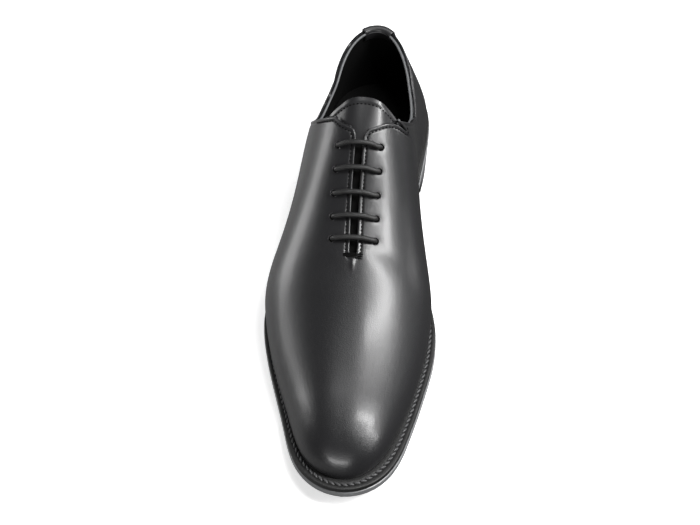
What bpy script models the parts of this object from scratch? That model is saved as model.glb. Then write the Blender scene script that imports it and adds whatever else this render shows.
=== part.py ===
"""Whole cut oxford, a right shoe: welted leather sole, stacked heel, one-piece upper and five bars of lace.

Metres, +Z up. The sole lies along Y with its toe at -Y, and the big toe side is +X.
The ground is z = 0, and the middle of the sole's length is y = 0.
"""

import math

import bmesh
import bpy
import numpy as np
from mathutils import Vector

# Sole
LENGTH = 0.305
BALL_WIDTH = 0.107
HEEL_WIDTH = 0.069
SOLE_THICKNESS = 0.005
WELT_THICKNESS = 0.0032
HEEL_HEIGHT = 0.026
HEEL_LENGTH = 0.070
LIFT_THICKNESS = 0.006
HEEL_TAPER = 0.0022
TOE_SPRING = 0.009
SEAT_DROP = 0.0014
EDGE_BEVEL = 0.0008

# Ledge of welt that shows outside the upper
LEDGE_FORE = 0.0070
LEDGE_HEEL = 0.0022
LEDGE_TOE = 0.0075
LEDGE_BACK = 0.0035

# Upper
WALL = 0.0022
INSTEP_HEIGHT = 0.082
TOE_HEIGHT = 0.027
BACK_HEIGHT = 0.0892
SIDE_HEIGHT = 0.0680
LATERAL_DROP = 0.0045
FACING_HEIGHT = 0.1053
HEEL_CURVE = 0.040
TOE_CAP = 0.043

# Throat, tongue and lace
THROAT_GAP = 0.0044
THROAT_END = 0.577 * LENGTH
FIRST_EYELET = 0.382 * LENGTH
EYELET_PITCH = 0.0402 * LENGTH
EYELET_PAIRS = 5
EYELET_OUT = 0.013
EYELET_BORE = 0.0040
LACE_DIAMETER = 0.0029
LACE_ARCH = 0.0012
LACE_LIFT = 0.00045
TOP_BAR_ARCH = 0.0024
BAR_REACH = 0.8 * EYELET_OUT
TONGUE_THICKNESS = 0.0020
TONGUE_GAP = 0.0010
TONGUE_HALF_WIDTH = 0.0255
TONGUE_SHIFT = 0.003
TONGUE_TOP = 0.302 * LENGTH
TONGUE_BOTTOM = 0.610 * LENGTH
TONGUE_CROWN = 0.0015

# Insole and heel tab
INSOLE_BOARD = 0.003
TAB_HALF_WIDTH = 0.0098
TAB_DROP = 0.016
TAB_LINING = 0.007
TAB_THICKNESS = 0.0011

CLEARANCE = 0.0003

# Share of the length, then half widths as shares of the width between heel and ball
OUTLINE = (
    # along, medial, lateral
    (0.00, 0.504, 0.496),
    (0.10, 0.504, 0.496),
    (0.20, 0.493, 0.519),
    (0.30, 0.414, 0.520),
    (0.38, 0.369, 0.504),
    (0.46, 0.395, 0.515),
    (0.54, 0.439, 0.538),
    (0.62, 0.470, 0.527),
    (0.69, 0.465, 0.482),
    (0.75, 0.438, 0.427),
    (0.82, 0.400, 0.358),
    (0.90, 0.352, 0.287),
    (1.00, 0.315, 0.224),
)

# Share of the length; rise from the toe's height (0) to the instep's (1); the others are shares of the ball width.
# A positive bulge lies outside the feather line, and a shoulder is a share of the way out to it.
SECTIONS = (
    # along, rise, centre, crown, low medial, bulge medial, shoulder medial, low lateral, bulge lateral, shoulder lateral
    (0.00, 1.27, -0.018, 0.061, 0.080, -0.270, 0.47, -0.010, -0.200, 0.53),
    (0.13, 1.285, -0.024, 0.075, 0.068, -0.260, 0.51, 0.014, -0.162, 0.54),
    (0.25, 1.245, -0.014, 0.096, 0.025, -0.020, 0.73, 0.096, 0.008, 0.585),
    (0.33, 1.10, -0.006, 0.106, 0.042, 0.135, 0.81, 0.098, 0.051, 0.583),
    (0.39, 0.99, -0.007, 0.098, 0.063, 0.162, 0.79, 0.085, 0.066, 0.581),
    (0.475, 0.785, -0.009, 0.103, 0.071, 0.139, 0.705, 0.078, 0.080, 0.595),
    (0.575, 0.56, 0.002, 0.112, 0.078, 0.102, 0.63, 0.075, 0.108, 0.625),
    (0.67, 0.345, 0.007, 0.121, 0.068, 0.057, 0.63, 0.080, 0.088, 0.635),
    (0.77, 0.165, 0.012, 0.121, 0.068, 0.047, 0.64, 0.085, 0.060, 0.645),
    (0.87, 0.04, 0.020, 0.112, 0.033, 0.028, 0.66, 0.070, 0.003, 0.66),
    (0.985, -0.055, 0.034, 0.093, -0.005, 0.008, 0.68, 0.080, 0.000, 0.68),
)
LEVEL_HEIGHTS = (0.0, 0.24, 0.64, 0.975, 1.0, 1.0)
HEEL_LEAN = (0.0, -0.10, -0.05, 0.20, 0.59, 0.85)

# Where the ribs of the upper lie, from the heel's widest line to the toe
RIB_ZONES = (
    # from, to, ribs
    (0.131, 0.285, 6),
    (0.285, 0.390, 13),
    (0.390, 0.577, 10),
    (0.577, 0.840, 10),
)
HEEL_RIBS = 9
TOE_RIBS = 11
RIB_LEVELS = 12
CORNER_BLEND = 0.05

# Powers of the rounded ends: the sole's edge, then each level of the upper from the feather line to the ridge
HEEL_ROUND = 2.45
TOE_ROUND = 2.9
HEEL_LEVELS = (HEEL_ROUND, 2.0, 2.05, 1.75, 1.9, 1.9)
TOE_LEVELS = (TOE_ROUND, 4.2, 3.3, 3.4, 3.6, 3.6)
TOE_DOME = 2.2

# Shares of the length at which the shape changes
WAIST_BLEND = (0.20, 0.62)
LEDGE_BLEND = (0.35, 0.65)
TREAD = (0.564, 0.640)
SEAT_END = 0.164
SPRING_POWER = 2.2
DIP_ALONG = 0.205
PEAK_ALONG = 0.330
PEAK_POWER = 1.3
SOLE_STATIONS = 46
TONGUE_COLUMNS = 12
TONGUE_ROWS = 16

MATERIALS = {
    # name: colour, roughness, metallic
    "upper_leather": ((0.012, 0.012, 0.013), 0.22, 0.0),
    "tongue_leather": ((0.014, 0.014, 0.015), 0.30, 0.0),
    "tab_leather": ((0.016, 0.016, 0.017), 0.30, 0.0),
    "welt_leather": ((0.010, 0.010, 0.010), 0.55, 0.0),
    "sole_leather": ((0.035, 0.035, 0.037), 0.45, 0.0),
    "heel_leather": ((0.030, 0.030, 0.032), 0.45, 0.0),
    "lift_rubber": ((0.015, 0.015, 0.015), 0.75, 0.0),
    "insole_leather": ((0.018, 0.018, 0.018), 0.85, 0.0),
    "waxed_lace": ((0.012, 0.012, 0.012), 0.50, 0.0),
}


def spline(table, column, at):
    """A curve without corners through one column of a table, against its first column."""
    x = np.array([row[0] for row in table])
    y = np.array([row[column] for row in table])
    step = np.diff(x)
    matrix = np.eye(len(x))
    slopes = np.zeros(len(x))
    for i in range(1, len(x) - 1):
        matrix[i, i - 1 : i + 2] = step[i - 1], 2 * (step[i - 1] + step[i]), step[i]
        slopes[i] = 6 * ((y[i + 1] - y[i]) / step[i] - (y[i] - y[i - 1]) / step[i - 1])
    bend = np.linalg.solve(matrix, slopes)
    at = np.asarray(at, float)
    i = np.clip(np.searchsorted(x, at) - 1, 0, len(x) - 2)
    t = at - x[i]
    slope = (y[i + 1] - y[i]) / step[i] - step[i] * (2 * bend[i] + bend[i + 1]) / 6
    return y[i] + slope * t + bend[i] * t**2 / 2 + (bend[i + 1] - bend[i]) * t**3 / (6 * step[i])


def smooth(t):
    t = np.clip(t, 0, 1)
    return t * t * (3 - 2 * t)


def blend(share, zone):
    """0 before a zone, 1 after it, and a smooth step inside."""
    return smooth((share - zone[0]) / (zone[1] - zone[0]))


def sole_bottom(along):
    """Height of the outsole's underside: heel seat, arch, flat tread and toe spring."""
    share = np.asarray(along) / LENGTH
    seat = HEEL_HEIGHT - SEAT_DROP * share / HEEL_CURVE * LENGTH
    arch = seat * (1 - blend(share, (SEAT_END, TREAD[0])))
    spring = TOE_SPRING * np.clip((share - TREAD[1]) / (1 - TREAD[1]), 0, None) ** SPRING_POWER
    return arch + spring


def sole_top(along):
    return sole_bottom(along) + SOLE_THICKNESS


def welt_bottom(along):
    return sole_top(along) + CLEARANCE


def welt_top(along):
    return welt_bottom(along) + WELT_THICKNESS


def feather(along):
    """Height of the upper's lower edge."""
    return welt_top(along) + CLEARANCE


def half_width(along, side):
    """Half width of the sole before its ends are rounded."""
    share = np.asarray(along) / LENGTH
    width = HEEL_WIDTH + (BALL_WIDTH - HEEL_WIDTH) * blend(share, WAIST_BLEND)
    return width * spline(OUTLINE, 1 if side > 0 else 2, share)


def toe_rounding(along, tip, power):
    """1 behind the toe, falling to 0 at its tip."""
    toe = np.clip((along - (tip - TOE_CAP)) / TOE_CAP, 0, 1)
    return np.sqrt(1 - toe ** np.array(power))


def heel_rounding(along, back):
    """1 in front of the heel, falling to 0 at its back."""
    heel = np.clip((HEEL_CURVE - along) / (HEEL_CURVE - back), 0, 1)
    return np.sqrt(1 - heel**HEEL_ROUND)


def outline(along, side, inset=0.0, back=0.0, tip=None):
    """X of the sole's edge, drawn in by inset at its sides and ending at back and tip."""
    tip = LENGTH if tip is None else tip
    medial = half_width(along, 1) - inset
    lateral = half_width(along, -1) - inset
    middle = (medial - lateral) / 2
    rounding = heel_rounding(along, back) * toe_rounding(along, tip, TOE_ROUND)
    return middle + side * (medial + lateral) / 2 * rounding


def side_shift():
    """How far the shoe moves across so that x = 0 is the middle of its widest points."""
    along = np.linspace(0, LENGTH, 400)
    return -(outline(along, 1).max() + outline(along, -1).min()) / 2


def place(x, along, z):
    """A point from its distance along the shoe, measured from the back of the sole."""
    return np.stack(np.broadcast_arrays(x + side_shift(), LENGTH / 2 - along, z), axis=-1)


def ledge(along):
    share = np.asarray(along) / LENGTH
    return LEDGE_HEEL + (LEDGE_FORE - LEDGE_HEEL) * blend(share, LEDGE_BLEND)


def stations(back, tip, count):
    """Places from back to tip, closer together at both ends."""
    return back + (tip - back) * (1 - np.cos(np.linspace(0, math.pi, count))) / 2


def section(side, along):
    """Control points, x and height above the feather line, of one side of the upper's cross section."""
    share = along / LENGTH
    rise, centre, crown = (spline(SECTIONS, column, share) for column in (1, 2, 3))
    low, bulge, shoulder = (spline(SECTIONS, column + (0 if side > 0 else 3), share) for column in (4, 5, 6))
    height = TOE_HEIGHT + (INSTEP_HEIGHT - TOE_HEIGHT) * rise
    edge = side * (half_width(along, side) - ledge(along))
    centre = centre * BALL_WIDTH
    x = np.array([
        edge,
        edge + side * low * BALL_WIDTH,
        edge + side * bulge * BALL_WIDTH,
        centre + (edge - centre) * shoulder,
        centre + side * crown * BALL_WIDTH,
        centre,
    ])
    return x, height * np.array(LEVEL_HEIGHTS)


def rib(side, turn, along):
    """Control points of one half rib. Turn goes from 0 at the back of the heel to 1 at its widest line."""
    tip = LENGTH - LEDGE_TOE
    x, height = section(side, along)
    middle = (half_width(along, 1) - half_width(along, -1)) / 2
    if turn < 1:
        back = math.cos(turn * math.pi / 2)
        opening = np.sqrt(1 - back ** np.array(HEEL_LEVELS))
        x = middle * (1 - back) + (x - middle) * opening
        lean = LEDGE_BACK + HEEL_CURVE * np.array(HEEL_LEAN)
        along = HEEL_CURVE - (HEEL_CURVE - lean) * back
    else:
        x = middle + (x - middle) * toe_rounding(along, tip, TOE_LEVELS)
        height = height * toe_rounding(along, tip, TOE_DOME)
        along = np.full(6, along)
    return place(x, along, feather(along) + height)


def rib_points(control, v):
    """Points at shares v of the way up a rib, from the feather line to the ridge."""
    v = np.atleast_1d(v)[:, None]
    k = np.arange(6)
    binomial = np.array([math.comb(5, i) for i in k])
    return (binomial * v**k * (1 - v) ** (5 - k)) @ control


def topline(along, side):
    """Height of the collar's edge above the ground, a little lower on the outer side under the ankle."""
    share = along / LENGTH
    rear = (BACK_HEIGHT - SIDE_HEIGHT) * (1 - smooth(share / DIP_ALONG))
    rise = np.clip((share - DIP_ALONG) / (PEAK_ALONG - DIP_ALONG), 0, 1) ** PEAK_POWER
    ankle = np.clip((along - HEEL_CURVE) / (PEAK_ALONG * LENGTH - HEEL_CURVE), 0, 1)
    drop = LATERAL_DROP * np.sin(math.pi * ankle) * (side < 0)
    return SIDE_HEIGHT + rear + (FACING_HEIGHT - SIDE_HEIGHT) * rise - drop


def throat_half_gap(along):
    """Half the width of the slit, which closes in a round end."""
    left = np.clip((THROAT_END - along) / THROAT_GAP, 0, 1)
    return THROAT_GAP / 2 * np.sqrt(1 - (1 - left) ** 2)


def first_crossing(values, shares):
    """Share at which the values first rise through zero, or more than 1 if they never do."""
    rises = np.nonzero((values[:-1] <= 0) & (values[1:] > 0))[0]
    if not len(rises):
        return 1.5
    k = rises[0]
    part = values[k] / (values[k] - values[k + 1])
    return shares[k] + part * (shares[k + 1] - shares[k])


def rib_top(control, side):
    """Share of the rib at which the collar or the slit cuts it, with a rounded corner between them."""
    v = np.linspace(0, 1, 401)
    points = rib_points(control, v)
    behind = LENGTH / 2 - points[:, 1]
    collar = first_crossing(points[:, 2] - topline(behind, side), v)
    slit = first_crossing(throat_half_gap(behind) - np.abs(points[:, 0] - control[5, 0]), v)
    near = max(CORNER_BLEND - abs(collar - slit), 0) / CORNER_BLEND
    return min(min(collar, slit) - near**2 * CORNER_BLEND / 4, 1.0)


def rib_places():
    """Turn and distance along the shoe of each rib, from the back of the heel to the toe's tip."""
    heel = [(turn, HEEL_CURVE) for turn in np.linspace(0, 1, HEEL_RIBS, endpoint=False)]
    body = []
    for first, last, count in RIB_ZONES:
        body += [(1.0, at * LENGTH) for at in np.linspace(first, last, count, endpoint=False)]
    start = RIB_ZONES[-1][1] * LENGTH
    tip = LENGTH - LEDGE_TOE
    toe = [(1.0, start + (tip - start) * math.sin(t)) for t in np.linspace(0, math.pi / 2, TOE_RIBS)]
    return heel + body + toe


def collection_named(name):
    found = bpy.data.collections.new(name)
    bpy.context.scene.collection.children.link(found)
    return found


def material_named(name):
    if name in bpy.data.materials:
        return bpy.data.materials[name]
    colour, roughness, metallic = MATERIALS[name]
    made = bpy.data.materials.new(name)
    made.use_nodes = True
    shader = made.node_tree.nodes["Principled BSDF"]
    shader.inputs["Base Color"].default_value = (*colour, 1)
    shader.inputs["Roughness"].default_value = roughness
    shader.inputs["Metallic"].default_value = metallic
    made.diffuse_color = (*colour, 1)
    return made


def add_object(name, shape, material, collection):
    """A new object from a bmesh, shaded smooth with sharp edges kept."""
    mesh = bpy.data.meshes.new(name)
    shape.to_mesh(mesh)
    shape.free()
    mesh.shade_smooth()
    mesh.set_sharp_from_angle(angle=math.radians(40))
    mesh.materials.append(material_named(material))
    made = bpy.data.objects.new(name, mesh)
    collection.objects.link(made)
    return made


def grid(shape, rows, flip):
    """Quads between neighbouring rows of points."""
    made = [[shape.verts.new(Vector(point)) for point in row] for row in rows]
    for first, second in zip(made, made[1:]):
        for a, b, c, d in zip(first, second, second[1:], first[1:]):
            shape.faces.new((a, d, c, b) if flip else (a, b, c, d))


def solid_from_rows(rows, ring):
    """A closed body through rows of section points, capped at its ends unless the rows form a ring."""
    shape = bmesh.new()
    made = [[shape.verts.new(Vector(point)) for point in row] for row in rows]
    pairs = list(zip(made, made[1:]))
    if ring:
        pairs.append((made[-1], made[0]))
    else:
        shape.faces.new(made[0])
        shape.faces.new(made[-1])
    for first, second in pairs:
        count = len(first)
        for k in range(count):
            shape.faces.new((first[k], first[(k + 1) % count], second[(k + 1) % count], second[k]))
    bmesh.ops.remove_doubles(shape, verts=shape.verts, dist=1e-6)
    bmesh.ops.dissolve_degenerate(shape, edges=shape.edges, dist=1e-6)
    bmesh.ops.recalc_face_normals(shape, faces=shape.faces)
    return shape


def make_outsole(collection):
    rows = []
    for along in stations(0.0, LENGTH, SOLE_STATIONS):
        low, high = sole_bottom(along), sole_top(along)
        edges = [outline(along, side, 0.0) for side in (-1, 1)]
        bevelled = [outline(along, side, EDGE_BEVEL, EDGE_BEVEL, LENGTH - EDGE_BEVEL) for side in (-1, 1)]
        rows.append([
            place(bevelled[0], along, low),
            place(bevelled[1], along, low),
            place(edges[1], along, low + EDGE_BEVEL),
            place(edges[1], along, high),
            place(edges[0], along, high),
            place(edges[0], along, low + EDGE_BEVEL),
        ])
    add_object("outsole", solid_from_rows(rows, ring=False), "sole_leather", collection)


def make_welt(collection):
    """A ring of leather between the outsole and the upper, whose inner edge is the upper's inner wall."""
    rows = []
    for side in (1, -1):
        shares = stations(0.0, 1.0, SOLE_STATIONS)
        for share in shares[:-1] if side > 0 else shares[:0:-1]:
            outer = CLEARANCE + (LENGTH - 2 * CLEARANCE) * share
            back = LEDGE_BACK + WALL
            tip = LENGTH - LEDGE_TOE - WALL
            inner = back + (tip - back) * share
            x_outer = outline(outer, side, CLEARANCE, CLEARANCE, LENGTH - CLEARANCE)
            x_inner = outline(inner, side, ledge(inner) + WALL, back, tip)
            rows.append([
                place(x_outer, outer, welt_bottom(outer)),
                place(x_outer, outer, welt_top(outer)),
                place(x_inner, inner, welt_top(inner)),
                place(x_inner, inner, welt_bottom(inner)),
            ])
    add_object("welt", solid_from_rows(rows, ring=True), "welt_leather", collection)


def make_insole(collection):
    """The board inside the welt and the upper, filled down to the outsole."""
    inset = WALL + CLEARANCE * 1.5
    back = LEDGE_BACK + inset
    tip = LENGTH - LEDGE_TOE - inset
    rows = []
    for along in stations(back, tip, SOLE_STATIONS):
        edges = [outline(along, side, ledge(along) + inset, back, tip) for side in (-1, 1)]
        low = sole_top(along) + CLEARANCE
        high = feather(along) + INSOLE_BOARD
        rows.append([
            place(edges[0], along, low),
            place(edges[1], along, low),
            place(edges[1], along, high),
            place(edges[0], along, high),
        ])
    add_object("insole", solid_from_rows(rows, ring=False), "insole_leather", collection)


def heel_rows(low, high):
    """Sections of a slice of the heel between two height functions, with the heel's taper."""
    rows = []
    reach = HEEL_LENGTH
    for along in reach * (1 - np.cos(np.linspace(0, math.pi / 2, 18))):
        corners = []
        for side, height in ((-1, low), (1, low), (1, high), (-1, high)):
            taper = HEEL_TAPER * (1 - height(along) / HEEL_HEIGHT)
            at = taper + along * (reach - 2 * taper) / reach
            corners.append(place(outline(at, side, taper, taper), at, height(along)))
        rows.append(corners)
    return rows


def make_heel(collection):
    lift = heel_rows(lambda along: 0.0, lambda along: LIFT_THICKNESS)
    stack = heel_rows(lambda along: LIFT_THICKNESS + CLEARANCE, lambda along: sole_bottom(along) - CLEARANCE)
    add_object("top_lift", solid_from_rows(lift, ring=False), "lift_rubber", collection)
    add_object("heel_stack", solid_from_rows(stack, ring=False), "heel_leather", collection)


def upper_rows(side):
    rows = []
    for turn, along in rib_places():
        control = rib(side, turn, along)
        top = rib_top(control, side)
        rows.append(rib_points(control, np.linspace(0, top, RIB_LEVELS)))
    return rows


def surface_point(along, out):
    """Point and outward normal of the upper's outer surface, out metres across from its ridge."""
    side = 1 if out >= 0 else -1
    v = np.linspace(0.3, 1, 301)

    def on(at):
        control = rib(side, 1.0, at)
        points = rib_points(control, v)
        share = np.interp(-abs(out), -np.abs(points[:, 0] - control[5, 0]), v)
        return rib_points(control, [share - 0.002, share])

    here = on(along)
    ahead = on(along + 0.0005)
    across = (here[1] - here[0]) * -side
    lengthwise = ahead[1] - here[1]
    normal = Vector(np.cross(across, lengthwise)).normalized()
    if normal.z < 0:
        normal.negate()
    return Vector(here[1]), normal


def eyelet_places():
    for pair in range(EYELET_PAIRS):
        for side in (1, -1):
            yield pair, side, surface_point(FIRST_EYELET + pair * EYELET_PITCH, side * EYELET_OUT)


def make_upper(collection, cutters):
    shape = bmesh.new()
    for side in (1, -1):
        grid(shape, upper_rows(side), flip=side > 0)
    bmesh.ops.remove_doubles(shape, verts=shape.verts, dist=2e-6)
    bmesh.ops.dissolve_degenerate(shape, edges=shape.edges, dist=1e-6)
    upper = add_object("upper", shape, "upper_leather", collection)
    wall = upper.modifiers.new("wall", "SOLIDIFY")
    wall.thickness = WALL
    wall.offset = -1
    wall.use_even_offset = True
    for pair, side, (point, normal) in eyelet_places():
        bpy.ops.mesh.primitive_cylinder_add(vertices=10, radius=EYELET_BORE / 2, depth=4 * WALL)
        cutter = bpy.context.active_object
        cutter.name = f"cut_eyelet_{pair + 1}_{'medial' if side > 0 else 'lateral'}"
        cutter.location = point - normal * WALL / 2
        cutter.rotation_mode = "QUATERNION"
        cutter.rotation_quaternion = normal.to_track_quat("Z", "Y")
        cutter.hide_render = True
        cutter.display_type = "WIRE"
        for holder in list(cutter.users_collection):
            holder.objects.unlink(cutter)
        cutters.objects.link(cutter)
        cut = upper.modifiers.new(cutter.name, "BOOLEAN")
        cut.operation = "DIFFERENCE"
        cut.object = cutter


def make_tongue(collection):
    """A sheet under the facings, its top edge an arc above the throat."""
    rows = []
    for across in np.linspace(-1, 1, TONGUE_COLUMNS):
        out = across * TONGUE_HALF_WIDTH
        top = TONGUE_TOP + TONGUE_CROWN * across**2
        row = []
        for along in np.linspace(top, TONGUE_BOTTOM, TONGUE_ROWS):
            shift = TONGUE_SHIFT * (1 - smooth((along - top) / (FIRST_EYELET - top)))
            point, normal = surface_point(along, out + shift)
            row.append(point - normal * (WALL + TONGUE_GAP))
        rows.append(row)
    shape = bmesh.new()
    grid(shape, rows, flip=True)
    tongue = add_object("tongue", shape, "tongue_leather", collection)
    wall = tongue.modifiers.new("wall", "SOLIDIFY")
    wall.thickness = TONGUE_THICKNESS
    wall.offset = -1


def make_lace(collection):
    """Five bars of round lace, each from the inside of one eyelet over the slit to the other."""
    radius = LACE_DIAMETER / 2
    ends = {}
    for pair, side, found in eyelet_places():
        ends[pair, side] = found
    for pair in range(EYELET_PAIRS):
        points = []
        for side in (-1, 1):
            point, normal = ends[pair, side]
            inward = (ends[pair, -side][0] - point).normalized()
            inward = (inward - normal * inward.dot(normal)).normalized()
            leg = [
                point - normal * WALL * 0.9,
                point + normal * radius * 0.3,
                point + normal * radius * 0.95 + inward * radius * 0.3,
                point + normal * (radius + LACE_LIFT) + inward * radius * 1.2,
            ]
            points.append(leg)
        middle = []
        for share in (0.2, 0.35, 0.5, 0.65, 0.8):
            along = FIRST_EYELET + pair * EYELET_PITCH
            crest, normal = surface_point(along, (2 * share - 1) * BAR_REACH)
            arch = (LACE_ARCH if pair else TOP_BAR_ARCH) * (1 - (2 * share - 1) ** 2)
            middle.append(crest + normal * (radius + LACE_LIFT + arch))
        add_tube(f"lace_bar_{pair + 1}", points[0] + middle + points[1][::-1], radius, collection)


def add_tube(name, points, radius, collection):
    curve = bpy.data.curves.new(name, "CURVE")
    curve.dimensions = "3D"
    curve.bevel_depth = radius
    curve.bevel_resolution = 2
    curve.use_fill_caps = True
    line = curve.splines.new("POLY")
    line.points.add(len(points) - 1)
    for target, point in zip(line.points, points):
        target.co = (*point, 1)
    curve.materials.append(material_named("waxed_lace"))
    collection.objects.link(bpy.data.objects.new(name, curve))


def make_heel_tab(collection):
    """A folded strip over the collar's edge at the back seam."""
    gaps = (CLEARANCE, CLEARANCE + TAB_THICKNESS)
    layers = {gap: [] for gap in gaps}
    for out in np.linspace(-1, 1, 7):
        side = 1 if out > 0 else -1
        turn = tab_turn(side, abs(out) * TAB_HALF_WIDTH)
        control = rib(side, turn, HEEL_CURVE)
        top = rib_top(control, side)
        rise = top * TAB_DROP / BACK_HEIGHT * 2
        outer = rib_points(control, np.linspace(top - rise, top, 6))
        normal = tab_normal(side, turn, top)
        up = Vector(outer[-1] - outer[-2]).normalized()
        for gap in gaps:
            row = [Vector(p) + normal * gap for p in outer]
            row.append(Vector(outer[-1]) + normal * gap + up * gap)
            inside = Vector(outer[-1]) - normal * (WALL + gap)
            row.append(inside + up * gap)
            row.append(inside - up * TAB_LINING)
            layers[gap].append(row)
    rows = [list(a) + list(b)[::-1] for a, b in zip(layers[gaps[0]], layers[gaps[1]])]
    add_object("heel_tab", solid_from_rows(rows, ring=False), "tab_leather", collection)


def tab_turn(side, out):
    """The heel rib that crosses the collar this far from the back seam."""
    turns = np.linspace(0, 0.6, 40)
    reach = []
    for turn in turns:
        control = rib(side, turn, HEEL_CURVE)
        reach.append(abs(rib_points(control, rib_top(control, side))[0, 0] - side_shift()))
    return float(np.interp(out, reach, turns))


def tab_normal(side, turn, v):
    """Outward direction of the heel's surface at one rib."""
    here = rib_points(rib(side, turn, HEEL_CURVE), [v - 0.01, v])
    beside = rib_points(rib(side, turn + 0.02, HEEL_CURVE), v)[0]
    normal = Vector(np.cross(here[1] - here[0], beside - here[1])).normalized()
    if normal.y < 0:
        normal.negate()
    return normal


def main():
    for old in list(bpy.data.objects):
        bpy.data.objects.remove(old, do_unlink=True)
    parts = collection_named("whole_cut_oxford")
    cutters = collection_named("cutters")
    make_outsole(parts)
    make_welt(parts)
    make_heel(parts)
    make_insole(parts)
    make_upper(parts, cutters)
    make_tongue(parts)
    make_heel_tab(parts)
    make_lace(parts)


main()
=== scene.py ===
"""A black whole cut oxford, the right shoe of a pair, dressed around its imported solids."""

import functools
import math

import bmesh
import bpy
import numpy as np
from mathutils import Matrix, Vector
from mathutils.kdtree import KDTree


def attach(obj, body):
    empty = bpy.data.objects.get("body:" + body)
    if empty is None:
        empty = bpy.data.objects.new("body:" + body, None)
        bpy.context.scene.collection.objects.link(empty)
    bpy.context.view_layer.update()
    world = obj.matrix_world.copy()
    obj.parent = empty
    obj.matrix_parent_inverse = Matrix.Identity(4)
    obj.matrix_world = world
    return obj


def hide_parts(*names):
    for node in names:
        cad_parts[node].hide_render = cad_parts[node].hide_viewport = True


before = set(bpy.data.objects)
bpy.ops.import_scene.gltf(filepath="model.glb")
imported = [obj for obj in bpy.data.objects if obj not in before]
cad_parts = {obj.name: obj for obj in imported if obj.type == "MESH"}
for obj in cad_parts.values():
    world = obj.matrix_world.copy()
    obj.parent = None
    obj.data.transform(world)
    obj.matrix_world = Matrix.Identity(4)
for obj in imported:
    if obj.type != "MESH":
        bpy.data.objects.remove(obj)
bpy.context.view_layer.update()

# ---------------------------------------------------------------- camera
# The photograph was taken from in front of the toe and well above it, with a normal lens.
# The frame is moved sideways so that this one shoe stands in its middle.
CAMERA_PLACE = (0.0952, -0.5799, 0.7885)
CAMERA_TILT = math.radians(37.65)
CAMERA_TURN = math.radians(4.05)
CAMERA_LENS = 79.57
CAMERA_SHIFT = -0.13

camera = bpy.data.objects.new("camera", bpy.data.cameras.new("camera"))
bpy.context.scene.collection.objects.link(camera)
camera.location = CAMERA_PLACE
camera.rotation_euler = (CAMERA_TILT, 0, CAMERA_TURN)
camera.data.lens = CAMERA_LENS
camera.data.sensor_width = 36
camera.data.shift_x = CAMERA_SHIFT
camera.data.clip_end = 20
bpy.context.scene.camera = camera

# ---------------------------------------------------------------- last and upper
# The upper is one piece of black calf, pulled wet over a wooden last and lasted in under the sole.
# It is joined at the back seam only, and opens at the collar and in a slit down to the vamp.
# Its cut edges are folded over and stitched down, and the eyelets are punched through both layers.
LENGTH = 0.305
BALL_WIDTH = 0.107
HEEL_WIDTH = 0.069
SOLE_THICKNESS = 0.005
WELT_THICKNESS = 0.0032
HEEL_HEIGHT = 0.026
TOE_SPRING = 0.009
SEAT_DROP = 0.0014
LEDGE_FORE = 0.0070
LEDGE_HEEL = 0.0022
LEDGE_TOE = 0.0075
LEDGE_BACK = 0.0035
WALL = 0.0022
INSTEP_HEIGHT = 0.082
TOE_HEIGHT = 0.027
BACK_HEIGHT = 0.0892
SIDE_HEIGHT = 0.0680
LATERAL_DROP = 0.0045
FACING_HEIGHT = 0.1053
HEEL_CURVE = 0.040
TOE_CAP = 0.043
THROAT_GAP = 0.0044
THROAT_END = 0.577 * LENGTH
FIRST_EYELET = 0.382 * LENGTH
EYELET_PITCH = 0.0402 * LENGTH
EYELET_PAIRS = 5
EYELET_OUT = 0.013
EYELET_BORE = 0.0044
CLEARANCE = 0.0003
WAIST_BLEND = (0.20, 0.62)
LEDGE_BLEND = (0.35, 0.65)
TREAD = (0.564, 0.640)
SEAT_END = 0.164
SPRING_POWER = 2.2
DIP_ALONG = 0.205
PEAK_ALONG = 0.330
PEAK_POWER = 1.3
CORNER_BLEND = 0.05
CORNER_END = 0.371 * LENGTH
CORNER_LENGTH = {1: 0.0155, -1: 0.0145}
CORNER_WIDTH = {1: 0.0245, -1: 0.013}
CORNER_POWER = {1: 1.6, -1: 1.5}
SLIT_FROM = 0.318 * LENGTH
HEEL_ROUND = 2.45
TOE_ROUND = 2.9
HEEL_LEVELS = (HEEL_ROUND, 2.0, 2.05, 1.75, 1.9, 1.9)
TOE_LEVELS = (TOE_ROUND, 4.2, 3.3, 3.4, 3.6, 3.6)
TOE_DOME = 2.2
LEVEL_HEIGHTS = (0.0, 0.24, 0.64, 0.975, 1.0, 1.0)
HEEL_LEAN = (0.0, -0.10, -0.05, 0.20, 0.59, 0.85)

# Share of the length, then half widths as shares of the width between heel and ball
OUTLINE = (
    # along, medial, lateral
    (0.00, 0.504, 0.496),
    (0.10, 0.504, 0.496),
    (0.20, 0.493, 0.519),
    (0.30, 0.414, 0.520),
    (0.38, 0.369, 0.504),
    (0.46, 0.395, 0.515),
    (0.54, 0.439, 0.538),
    (0.62, 0.470, 0.527),
    (0.69, 0.465, 0.482),
    (0.75, 0.438, 0.427),
    (0.82, 0.400, 0.358),
    (0.90, 0.352, 0.287),
    (1.00, 0.315, 0.224),
)

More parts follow.
